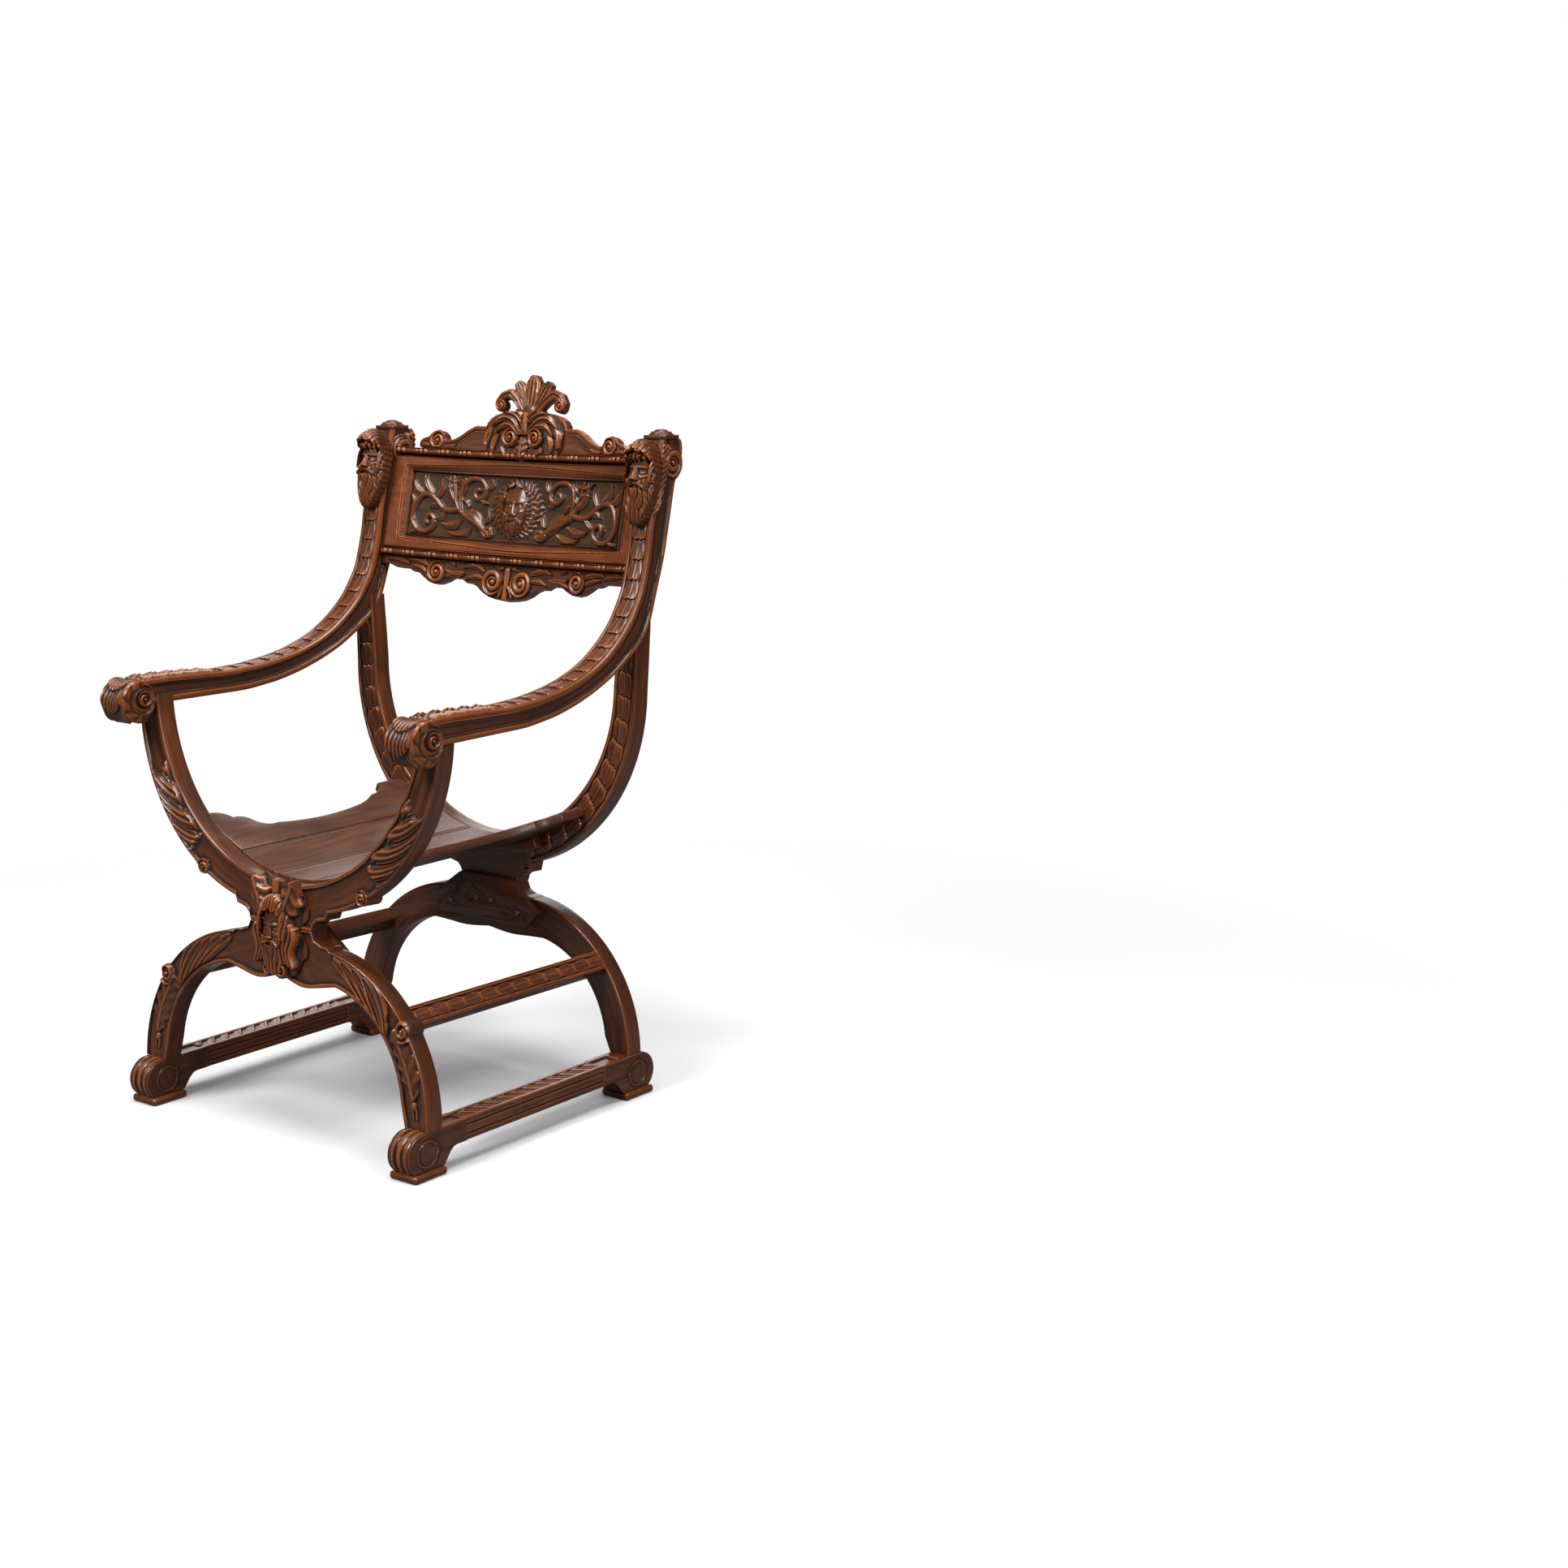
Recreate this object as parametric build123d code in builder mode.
from build123d import *
import os
from math import asin, atan2, cos, degrees, radians, sin, sqrt, tan

os.makedirs("parts", exist_ok=True)

# A carved walnut armchair on two X-shaped frames, one in front of the other.
# Millimetres. The chair faces -Y, +Z is up, and the floor is Z = 0.
# "Left" and "right" are those of someone who looks at the front: left is -X.

# ---------------------------------------------------------------- driving dimensions

FEET_MIDDLE_Y = -47.3  # halfway between front and back feet, from the middle of the plan

# The two X-frames, each a sawn board that leans back a little
FRAME_THICKNESS = 30.0
FRONT_FRAME_Y = -224.8  # front face at floor level, from the middle of the feet
FRONT_LEAN = 3.4  # degrees
BACK_FRAME_Y = 228.3  # back face at floor level, from the middle of the feet
BACK_LEAN = 2.4

# Upper half of the front frame: arcs of circles about points of the frame's own plane
FRONT_RIM_CENTRE = 630.0
FRONT_RIM_RADIUS = 266.0
FRONT_LIMB_CENTRE_X = 30.0
FRONT_LIMB_CENTRE_Z = 601.0
FRONT_LIMB_RADIUS = 274.0
FRONT_NECK = 305.0  # height of the seam between the upper limbs and the legs
FRONT_WAIST = 62.0  # half width at that seam
FRONT_NIB = 94.0  # half width over the corners above and below it

# Upper half of the back frame
BACK_RIM_CENTRE = 612.0
BACK_RIM_RADIUS = 247.0
BACK_LIMB_CENTRE_Z = 603.0
BACK_LIMB_RADIUS = 288.0
BACK_LIMB_TOP_INNER = 254.0  # half width inside and outside where the limb meets the arm
BACK_LIMB_TOP_OUTER = 292.0
BACK_NECK = 293.0
BACK_WAIST = 56.0
BACK_NIB = 87.0

# Legs: outer and inner arcs, and the straight ankle under the inner one
FRONT_LEG_OUTER_X = 76.0
FRONT_LEG_OUTER_Z = 68.0
FRONT_LEG_OUTER_RADIUS = 216.0
FRONT_LEG_INNER_X = 85.0
FRONT_LEG_INNER_Z = 80.0
FRONT_LEG_INNER_RADIUS = 157.0
FRONT_LOBE_DROP = 15.0  # how far the lobe beside the middle hangs under the arch
BACK_LEG_OUTER_X = 68.0
BACK_LEG_OUTER_Z = 57.0
BACK_LEG_OUTER_RADIUS = 218.0
BACK_LEG_INNER_X = 88.0
BACK_LEG_INNER_Z = 66.0
BACK_LEG_INNER_RADIUS = 152.0
BACK_LOBE_DROP = 6.0
ARCH_RUN = 26.0  # where the lobed middle of the arch takes over from the inner arc
ANKLE_INNER = 249.0  # half width inside the ankles, on top of the feet

# Little rolls on the outline of the front frame
LIMB_EAR_X = 165.0
LIMB_EAR_RADIUS = 8.0
LEG_EAR_X = 246.0
LEG_EAR_RADIUS = 11.0

# Sunk grounds for the carving
CARVING_RIM = 6.0
CARVING_DEPTH = 3.0

# Feet and the stretchers between them
FOOT_X = 270.0
FOOT_WIDTH = 40.0
FOOT_TOP = 65.0
FOOT_SCROLL_RADIUS = 30.0
FOOT_SCROLL_Y = 225.0  # axis of the scroll, from the middle of the feet
FOOT_BRACKET_Y = 186.0  # back of the foot's standing part
FOOT_BRACKET_RUN = 24.0
STRETCHER_SEAM_Y = 142.0
STRETCHER_WIDTH = 37.0
STRETCHER_HEIGHT = 32.0
EYE_DISC_RADIUS = 19.0
EYE_GROOVE = 2.0
FLUTE_RADIUS = 3.5
PAD_WIDTH = 51.0
PAD_LENGTH = 62.0
PAD_HEIGHT = 11.0
PAD_FRONT_Y = 248.0

# Side stretchers at mid height, let in flush with the outer arc of the legs
MID_STRETCHER_ANGLE = 42.0  # degrees up the arc of the leg, from the horizontal
MID_STRETCHER_WIDTH = 31.0
MID_STRETCHER_THICKNESS = 22.0

# Arms with the upper posts in one piece, drawn in side view from the middle of the feet
ARM_UNDERSIDE = 590.0
ARM_FRONT_INNER = 269.0  # half widths of the plan, in front and at the back
ARM_FRONT_OUTER = 314.0
ARM_BACK_INNER = 254.5
ARM_BACK_OUTER = 292.5
ARM_FRONT_Y = -251.0
ARM_BACK_Y = 330.0
VOLUTE_RADIUS = 31.0
VOLUTE_RISE = 7.0  # centre of the volute over the underside of the arm
VOLUTE_EYE_RADIUS = 17.0
VOLUTE_GROOVE = 3.0
POST_RAKE = 14.0  # degrees
POST_DEPTH = 44.0
POST_FRONT_Y = 252.5  # front face of the post where its straight part starts
POST_START = ARM_UNDERSIDE + 250.0
POST_TOP = 966.0
POST_ROLL_HEIGHT = 62.0  # the roll that the post's top makes backwards
POST_ROLL_OVERHANG = 9.0
ARM_SIDE_FIELD = 14.0  # width of the sunk field along the sides of the arm
ARM_SIDE_DEPTH = 1.6

CAP_ABACUS = 40.0
CAP_ABACUS_HEIGHT = 5.0
CAP_BUTTON_RADIUS = 18.0
CAP_BUTTON_HEIGHT = 9.0

HEAD_RADIUS = 24.0  # the carved heads on the fronts of the posts
HEAD_DEPTH = 42.0
HEAD_TOP = 958.0
HEAD_HEIGHT = 108.0

# The back: bowed boards that rake back between the posts
BACK_RAKE = 13.0  # degrees
BACK_HALF_WIDTH = 254.0
BACK_BOW = 16.0  # how far the middle lies behind the ends
BACK_BOTTOM = 768.0  # seam between the apron and the board, at the middle
BACK_FRONT_Y = 268.9  # front of the moulded frame there, from the middle of the feet
BOARD_HEIGHT = 174.0  # these heights are measured up the rake from that seam
BOARD_THICKNESS = 9.0
MOULDING_THICKNESS = 8.0
PANEL_THICKNESS = 3.0
LOWER_BEAD_START = 3.0
BEAD_WIDTH = 9.0
BEAD_PROJECTION = 5.0
UPPER_BEAD_START = 163.0
FRAME_START = 15.0
FRAME_END = 159.0
RAIL_WIDTH = 22.5
STILE_WIDTH = 37.0
CREST_HALF_WIDTH = 211.0
CREST_THICKNESS = 15.0
CREST_SHOULDER = 38.0  # heights of the crest over the board
CREST_TOP = 60.0
PALMETTE_HEIGHT = 60.0
PALMETTE_THICKNESS = 13.0
CROWN_THICKNESS = 9.0  # the scrolled leaves planted on the middle of the crest
APRON_THICKNESS = 15.0

# The seat: boards that run from frame to frame and follow the rims' dip
SEAT_THICKNESS = 13.0
SEAT_RADIUS = 268.0
SEAT_BOTTOM = 366.0  # top of the middle board
SEAT_MIDDLE_HALF = 36.0
SEAT_SIDE_HALF = 113.0
WING_FRONT = 97.0  # widths of the wings up their slope: at the front, in the middle, at the back
WING_MIDDLE = 37.0
WING_BACK = 86.0
SEAT_GROOVE = 1.2  # open joint between the boards
CLEAT_DEPTH = 16.0
CLEAT_HEIGHT = 18.0
CLEAT_HALF_WIDTH = 105.0

# Plates behind the necks, with their screws
PLATE_THICKNESS = 11.0
PLATE_TOP_HALF = 50.0
PLATE_SIDE_HALF = 112.0
PLATE_BOTTOM_HALF = 88.0
SCREW_RADIUS = 2.5
SCREW_HEAD_RADIUS = 4.5
SCREW_HEAD_HEIGHT = 2.0
SCREW_LENGTH = 27.0
SCREW_INNER_X = 15.0
SCREW_INNER_DROP = 30.0  # under the neck seam
SCREW_OUTER_X = 70.0
SCREW_OUTER_DROP = 42.0
PLATE_RISE = 6.0  # height of the plate's top edge over the neck seam
PLATE_SHOULDER_DROP = 38.0
PLATE_DROP = 62.0

MASK_HALF_WIDTH = 60.0
MASK_DEPTH = 14.0
MASK_HALF_HEIGHT = 70.0
BOSS_RADIUS = 45.0
BOSS_PROJECTION = 18.0
BOSS_HEIGHT = 298.0

DOWEL_RADIUS = 5.0
DOWEL_LENGTH = 36.0
NECK_DOWEL_X = 25.0

# ---------------------------------------------------------------- planes


def leaning_plane(y, lean):
    """A plane across the chair that leans back by some degrees; it looks forward."""
    turn = radians(lean)
    return Plane(origin=(0, FEET_MIDDLE_Y + y, 0), x_dir=(1, 0, 0), z_dir=(0, -cos(turn), sin(turn)))


FRONT_PLANE = leaning_plane(FRONT_FRAME_Y, FRONT_LEAN)
BACK_PLANE = leaning_plane(BACK_FRAME_Y - FRAME_THICKNESS / cos(radians(BACK_LEAN)), BACK_LEAN)
SIDE_PLANE = Plane(origin=(0, FEET_MIDDLE_Y, 0), x_dir=(0, 1, 0), z_dir=(1, 0, 0))
FLOOR_TO_LEG = Plane.XY.offset(FOOT_TOP)
WIDE = 400.0  # longer than any half of the chair


# ---------------------------------------------------------------- outlines of the frames


def on_arc(centre_x, centre_z, radius, x):
    """Point of a circle's upper half over x."""
    return (x, centre_z + sqrt(radius**2 - (x - centre_x) ** 2))


def under_arc(centre_x, centre_z, radius, x):
    """Point of a circle's lower half under x."""
    return (x, centre_z - sqrt(radius**2 - (x - centre_x) ** 2))


def front_limb_outline():
    """Right half of the front frame above the neck seam."""
    top = ARM_UNDERSIDE + FRAME_THICKNESS / 2
    inner_sweep = 90 + degrees(asin((top - FRONT_RIM_CENTRE) / FRONT_RIM_RADIUS))
    outer_start = degrees(asin((top - FRONT_LIMB_CENTRE_Z) / FRONT_LIMB_RADIUS))
    nib = under_arc(FRONT_LIMB_CENTRE_X, FRONT_LIMB_CENTRE_Z, FRONT_LIMB_RADIUS, FRONT_NIB)
    outer_end = degrees(atan2(nib[1] - FRONT_LIMB_CENTRE_Z, nib[0] - FRONT_LIMB_CENTRE_X))
    with BuildLine() as outline:
        rim = CenterArc((0, FRONT_RIM_CENTRE), FRONT_RIM_RADIUS, -90, inner_sweep)
        centre = (FRONT_LIMB_CENTRE_X, FRONT_LIMB_CENTRE_Z)
        outer = CenterArc(centre, FRONT_LIMB_RADIUS, outer_start, outer_end - outer_start)
        Line(rim @ 1, outer @ 0)
        neck_above(outer @ 1, FRONT_NECK, FRONT_WAIST, FRONT_NIB)
        Line((0, FRONT_NECK), rim @ 0)
    make_face(outline.edges())


def back_limb_outline():
    """Right half of the back frame above the neck seam; its top runs up into the arm."""
    top = ARM_UNDERSIDE + 5 * FRAME_THICKNESS
    nib = under_arc(0, BACK_LIMB_CENTRE_Z, BACK_LIMB_RADIUS, BACK_NIB)
    outer_end = degrees(atan2(nib[1] - BACK_LIMB_CENTRE_Z, nib[0]))
    with BuildLine() as outline:
        rim = CenterArc((0, BACK_RIM_CENTRE), BACK_RIM_RADIUS, -90, 90)
        outer = CenterArc((0, BACK_LIMB_CENTRE_Z), BACK_LIMB_RADIUS, 0, outer_end)
        Polyline(rim @ 1, (BACK_LIMB_TOP_INNER, top), (BACK_LIMB_TOP_OUTER, top), outer @ 0)
        neck_above(outer @ 1, BACK_NECK, BACK_WAIST, BACK_NIB)
        Line((0, BACK_NECK), rim @ 0)
    make_face(outline.edges())


def neck_above(corner, neck, waist, nib):
    """From the corner of an upper limb down a step and a hollow to the seam's middle."""
    Polyline(corner, (nib - 4, neck + 20), (nib - 21, neck + 16))
    ThreePointArc((nib - 21, neck + 16), (waist + 3, neck + 9), (waist, neck))
    Line((waist, neck), (0, neck))


def leg_outline(neck, waist, nib, outer_circle, inner_circle, lobe_drop, toe):
    """Right leg and its half of the arch, from the neck seam down to just under the foot's top."""
    outer_x, outer_z, outer_radius = outer_circle
    inner_x, inner_z, inner_radius = inner_circle
    crown = inner_z + inner_radius
    bottom = FOOT_TOP - FRAME_THICKNESS / 2
    shoulder = on_arc(outer_x, outer_z, outer_radius, nib + 4)
    shoulder_angle = degrees(atan2(shoulder[1] - outer_z, shoulder[0] - outer_x))
    ankle = radians(8)
    ankle_point = (inner_x + inner_radius * cos(ankle), inner_z + inner_radius * sin(ankle))
    arch = on_arc(inner_x, inner_z, inner_radius, inner_x + ARCH_RUN)
    arch_angle = degrees(atan2(arch[1] - inner_z, ARCH_RUN))
    with BuildLine() as outline:
        outer = CenterArc((outer_x, outer_z), outer_radius, 0, shoulder_angle)
        Polyline(outer @ 0, (toe, bottom), (ANKLE_INNER, bottom), (ANKLE_INNER, FOOT_TOP), ankle_point)
        inner = CenterArc((inner_x, inner_z), inner_radius, degrees(ankle), arch_angle - degrees(ankle))
        lobe = Spline(
            inner @ 1,
            (inner_x - 5, crown - 0.55 * lobe_drop),
            (inner_x - 38, crown - lobe_drop),
            (inner_x - 68, crown - 0.5 * lobe_drop),
            (0, crown),
            tangents=[inner % 1, (-0.6, 1)],
        )
        Line(lobe @ 1, (0, neck))
        Line((0, neck), (waist, neck))
        ThreePointArc((waist, neck), (waist + 5, neck - 11), (nib - 12, neck - 17))
        Polyline((nib - 12, neck - 17), (nib, neck - 18), outer @ 1)
    make_face(outline.edges())


def front_leg_outline():
    outer = (FRONT_LEG_OUTER_X, FRONT_LEG_OUTER_Z, FRONT_LEG_OUTER_RADIUS)
    inner = (FRONT_LEG_INNER_X, FRONT_LEG_INNER_Z, FRONT_LEG_INNER_RADIUS)
    toe = FRONT_LEG_OUTER_X + FRONT_LEG_OUTER_RADIUS
    leg_outline(FRONT_NECK, FRONT_WAIST, FRONT_NIB, outer, inner, FRONT_LOBE_DROP, toe)


def back_leg_outline():
    outer = (BACK_LEG_OUTER_X, BACK_LEG_OUTER_Z, BACK_LEG_OUTER_RADIUS)
    inner = (BACK_LEG_INNER_X, BACK_LEG_INNER_Z, BACK_LEG_INNER_RADIUS)
    toe = BACK_LEG_OUTER_X + BACK_LEG_OUTER_RADIUS
    leg_outline(BACK_NECK, BACK_WAIST, BACK_NIB, outer, inner, BACK_LOBE_DROP, toe)


# ---------------------------------------------------------------- arms in side view

RAKE_Y = tan(radians(POST_RAKE))


def post_front(height):
    return POST_FRONT_Y + (height - POST_START) * RAKE_Y


def post_back(height):
    return post_front(height) + POST_DEPTH / cos(radians(POST_RAKE))


# Points of the arm's lines in side view: distance behind the middle of the feet, height over the underside
UNDERSIDE_POINTS = [(-20, 0), (40, 7), (84, 17), (125, 30), (166, 47)]
UNDERSIDE_TURN = [(213, 75), (238, 94), (254, 118), (263, 144)]
UNDERSIDE_END = 210.0
TOPSIDE_POINTS = [(-60, 33), (0, 35.5), (45, 41.5), (81, 49), (120, 62), (150, 77)]
TOPSIDE_TURN = [(181, 99), (204, 121), (231, 161), (247, 216)]
SIDE_FIELD_POINTS = [(-165, 16), (-60, 16), (0, 18), (45, 25), (85, 34), (125, 48)]
SIDE_FIELD_TURN = [(165, 66), (200, 90), (225, 113), (243, 143), (260, 183), (276, 250)]


def over_underside(points):
    return [(y, ARM_UNDERSIDE + height) for y, height in points]


def arm_underside():
    """The long curve under the arm, which turns up into the back of the post."""
    start = (VOLUTE_BACK_Y, ARM_UNDERSIDE)
    points = over_underside(UNDERSIDE_POINTS + UNDERSIDE_TURN)
    flat = Line(start, points[0])
    top = ARM_UNDERSIDE + UNDERSIDE_END
    curve = Spline(*points, (post_back(top), top), tangents=[(1, 0), (RAKE_Y, 1)])
    return flat, curve


def arm_topside(start):
    """The long curve over the arm, which turns up into the front of the post."""
    end = (post_front(POST_START), POST_START)
    points = over_underside(TOPSIDE_POINTS + TOPSIDE_TURN)
    return Spline(start, *points, end, tangents=[(1, -0.05), (RAKE_Y, 1)])


VOLUTE_Y = ARM_FRONT_Y + VOLUTE_RADIUS
VOLUTE_Z = ARM_UNDERSIDE + VOLUTE_RISE
VOLUTE_BACK_Y = VOLUTE_Y + sqrt(VOLUTE_RADIUS**2 - VOLUTE_RISE**2)
ARM_NECK = (VOLUTE_Y + 60, VOLUTE_Z + VOLUTE_RADIUS - 1)


def arm_outline():
    """Side view of the arm from its front volute to the top of the post."""
    roll_start = (post_back(POST_TOP - POST_ROLL_HEIGHT), POST_TOP - POST_ROLL_HEIGHT)
    roll_back = post_back(POST_TOP - POST_ROLL_HEIGHT / 2) + POST_ROLL_OVERHANG
    roll_end = (roll_back - POST_ROLL_OVERHANG * 0.7, POST_TOP)
    with BuildLine() as outline:
        flat, curve = arm_underside()
        Line(curve @ 1, roll_start)
        ThreePointArc(roll_start, (roll_back, POST_TOP - POST_ROLL_HEIGHT / 2), roll_end)
        Polyline(roll_end, (post_front(POST_TOP), POST_TOP), (post_front(POST_START), POST_START))
        arm_topside(ARM_NECK)
        Line(ARM_NECK, (VOLUTE_Y, VOLUTE_Z + VOLUTE_RADIUS))
        CenterArc((VOLUTE_Y, VOLUTE_Z), VOLUTE_RADIUS, 90, 270 - degrees(asin(VOLUTE_RISE / VOLUTE_RADIUS)))
    make_face(outline.edges())


ARM_LENGTH = ARM_BACK_Y - ARM_FRONT_Y


def arm_inner(y):
    """Half width inside the arms at some distance from the middle of the feet."""
    return ARM_BACK_INNER + (ARM_FRONT_INNER - ARM_BACK_INNER) * (ARM_BACK_Y - y) / ARM_LENGTH


def arm_outer(y):
    return ARM_BACK_OUTER + (ARM_FRONT_OUTER - ARM_BACK_OUTER) * (ARM_BACK_Y - y) / ARM_LENGTH


def arm_plan(rim=0.0):
    """Plan of the right arm, narrower by a rim on both sides."""
    front = ARM_FRONT_Y - VOLUTE_RADIUS
    back = ARM_BACK_Y + VOLUTE_RADIUS
    Polygon(
        (arm_inner(front) + rim, FEET_MIDDLE_Y + front),
        (arm_outer(front) - rim, FEET_MIDDLE_Y + front),
        (arm_outer(back) - rim, FEET_MIDDLE_Y + back),
        (arm_inner(back) + rim, FEET_MIDDLE_Y + back),
        align=None,
    )


def arm_side_plane(side, half_width):
    """Upright plane along one side of an arm; side is 1 on the right and -1 on the left."""
    start = Vector(side * half_width(0), FEET_MIDDLE_Y, 0)
    run = Vector(side * (half_width(ARM_BACK_Y) - half_width(ARM_FRONT_Y)), ARM_LENGTH, 0)
    return Plane(origin=start, x_dir=run, z_dir=run.cross(Vector(0, 0, side)))


# ---------------------------------------------------------------- dowels

def drill(holes, radius=DOWEL_RADIUS, length=DOWEL_LENGTH):
    """Round holes through the piece in hand, centred on points and along directions."""
    for spot, direction in holes:
        with BuildSketch(Plane(origin=spot, z_dir=direction)) as hole:
            Circle(radius)
        extrude(hole.sketch, amount=length / 2, both=True, mode=Mode.SUBTRACT)


def pegs(holes, radius=DOWEL_RADIUS, length=DOWEL_LENGTH):
    """Round pegs that fill such holes."""
    for spot, direction in holes:
        with BuildSketch(Plane(origin=spot, z_dir=direction)) as section:
            Circle(radius)
        extrude(section.sketch, amount=length / 2, both=True)


def mirrored(spots):
    return spots + [(Vector(-spot.X, spot.Y, spot.Z), direction) for spot, direction in spots]


def neck_dowels(plane, neck):
    spot = plane.from_local_coords((NECK_DOWEL_X, neck, -FRAME_THICKNESS / 2))
    return [(spot, plane.y_dir)]


def plate_screws(plane, neck, depth, out):
    """Screws of a brace plate: points on its outer face, and the way out of that face."""
    spots = [(SCREW_INNER_X, neck - SCREW_INNER_DROP), (SCREW_OUTER_X, neck - SCREW_OUTER_DROP)]
    return [(plane.from_local_coords((x, height, depth)), plane.z_dir * out) for x, height in spots]


FRONT_NECK_DOWELS = neck_dowels(FRONT_PLANE, FRONT_NECK)
BACK_NECK_DOWELS = neck_dowels(BACK_PLANE, BACK_NECK)
FRONT_SCREWS = plate_screws(FRONT_PLANE, FRONT_NECK, -FRAME_THICKNESS - PLATE_THICKNESS, -1)
BACK_SCREWS = plate_screws(BACK_PLANE, BACK_NECK, PLATE_THICKNESS, 1)

UP = Vector(0, 0, 1)
ALONG = Vector(0, 1, 0)
FOOT_DOWELS = [
    (plane.from_local_coords((FOOT_X, FOOT_TOP, -FRAME_THICKNESS / 2)), UP)
    for plane in (FRONT_PLANE, BACK_PLANE)
]
STRETCHER_DOWELS = [
    (Vector(FOOT_X, FEET_MIDDLE_Y + end * STRETCHER_SEAM_Y, FOOT_TOP - STRETCHER_HEIGHT / 2), ALONG)
    for end in (-1, 1)
]

climb = radians(MID_STRETCHER_ANGLE)
FRONT_LANDING = FRONT_PLANE.from_local_coords(
    (
        FRONT_LEG_OUTER_X + FRONT_LEG_OUTER_RADIUS * cos(climb),
        FRONT_LEG_OUTER_Z + FRONT_LEG_OUTER_RADIUS * sin(climb),
        -FRAME_THICKNESS,
    )
)
BACK_LANDING = BACK_PLANE.from_local_coords(
    (
        BACK_LEG_OUTER_X + BACK_LEG_OUTER_RADIUS * cos(climb),
        BACK_LEG_OUTER_Z + BACK_LEG_OUTER_RADIUS * sin(climb),
        0,
    )
)
MID_RUN = (BACK_LANDING - FRONT_LANDING).normalized()
MID_INWARD = Vector(-cos(climb), 0, -sin(climb)) * (MID_STRETCHER_THICKNESS / 2)
MID_DOWELS = [(FRONT_LANDING + MID_INWARD, MID_RUN), (BACK_LANDING + MID_INWARD, MID_RUN)]
MID_PLANE = Plane(origin=FRONT_LANDING, x_dir=(-sin(climb), 0, cos(climb)), z_dir=MID_RUN)

FRONT_LIMB_MIDDLE_X = (
    FRONT_RIM_RADIUS * cos(asin((ARM_UNDERSIDE - FRONT_RIM_CENTRE) / FRONT_RIM_RADIUS))
    + FRONT_LIMB_CENTRE_X
    + FRONT_LIMB_RADIUS
) / 2
ARM_SPOT = (FRONT_LIMB_MIDDLE_X, ARM_UNDERSIDE, -FRAME_THICKNESS / 2)
ARM_DOWELS = [(FRONT_PLANE.from_local_coords(ARM_SPOT), UP)]

# ---------------------------------------------------------------- front frame

with BuildPart() as front_right_upper_limb:
    with BuildSketch(FRONT_PLANE):
        front_limb_outline()
        limb_circle = (FRONT_LIMB_CENTRE_X, FRONT_LIMB_CENTRE_Z, FRONT_LIMB_RADIUS - 3)
        with Locations(under_arc(*limb_circle, LIMB_EAR_X)):
            Circle(LIMB_EAR_RADIUS)
    extrude(amount=-FRAME_THICKNESS)
    with BuildSketch(FRONT_PLANE):
        front_limb_outline()
        offset(amount=-CARVING_RIM, mode=Mode.REPLACE)
        with Locations((FRONT_NIB + 10, FRONT_NECK)):
            Rectangle(WIDE, 265, align=(Align.MIN, Align.MIN), mode=Mode.INTERSECT)
    extrude(amount=-CARVING_DEPTH, mode=Mode.SUBTRACT)
    split(bisect_by=Plane.XY.offset(ARM_UNDERSIDE), keep=Keep.BOTTOM)
    drill(FRONT_NECK_DOWELS + ARM_DOWELS)

with BuildPart() as front_right_leg:
    with BuildSketch(FRONT_PLANE):
        front_leg_outline()
        with Locations(on_arc(FRONT_LEG_OUTER_X, FRONT_LEG_OUTER_Z, FRONT_LEG_OUTER_RADIUS - 3, LEG_EAR_X)):
            Circle(LEG_EAR_RADIUS)
    extrude(amount=-FRAME_THICKNESS)
    with BuildSketch(FRONT_PLANE):
        front_leg_outline()
        offset(amount=-CARVING_RIM, mode=Mode.REPLACE)
        with Locations((FRONT_LEG_INNER_X + ARCH_RUN + CARVING_RIM, FOOT_TOP + CARVING_RIM)):
            Rectangle(WIDE, WIDE, align=(Align.MIN, Align.MIN), mode=Mode.INTERSECT)
    extrude(amount=-CARVING_DEPTH, mode=Mode.SUBTRACT)
    split(bisect_by=FLOOR_TO_LEG, keep=Keep.TOP)
    drill(FRONT_NECK_DOWELS + FOOT_DOWELS + MID_DOWELS)
    drill(FRONT_SCREWS, SCREW_RADIUS, 2 * SCREW_LENGTH)

# ---------------------------------------------------------------- back frame

with BuildPart() as arm_scribe:
    with BuildSketch(SIDE_PLANE):
        with BuildLine() as outline:
            flat, curve = arm_underside()
            Polyline(curve @ 1, (post_back(900), 900), (0, 900), (VOLUTE_BACK_Y, 700), flat @ 0)
        make_face()
    extrude(amount=WIDE)

with BuildPart() as back_right_upper_limb:
    with BuildSketch(BACK_PLANE):
        back_limb_outline()
    extrude(amount=-FRAME_THICKNESS)
    with BuildSketch(BACK_PLANE):
        back_limb_outline()
        offset(amount=-CARVING_RIM, mode=Mode.REPLACE)
        with Locations((0, 437)):
            Rectangle(WIDE, WIDE, align=(Align.MIN, Align.MIN), mode=Mode.INTERSECT)
    extrude(amount=-CARVING_DEPTH, mode=Mode.SUBTRACT)
    add(arm_scribe.part, mode=Mode.SUBTRACT)
    drill(BACK_NECK_DOWELS)

with BuildPart() as back_right_leg:
    with BuildSketch(BACK_PLANE):
        back_leg_outline()
    extrude(amount=-FRAME_THICKNESS)
    split(bisect_by=FLOOR_TO_LEG, keep=Keep.TOP)
    drill(BACK_NECK_DOWELS + FOOT_DOWELS + MID_DOWELS)
    drill(BACK_SCREWS, SCREW_RADIUS, 2 * SCREW_LENGTH)

with BuildPart() as front_left_upper_limb:
    mirror(front_right_upper_limb.part, about=Plane.YZ)
with BuildPart() as front_left_leg:
    mirror(front_right_leg.part, about=Plane.YZ)
with BuildPart() as back_left_upper_limb:
    mirror(back_right_upper_limb.part, about=Plane.YZ)
with BuildPart() as back_left_leg:
    mirror(back_right_leg.part, about=Plane.YZ)

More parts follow.
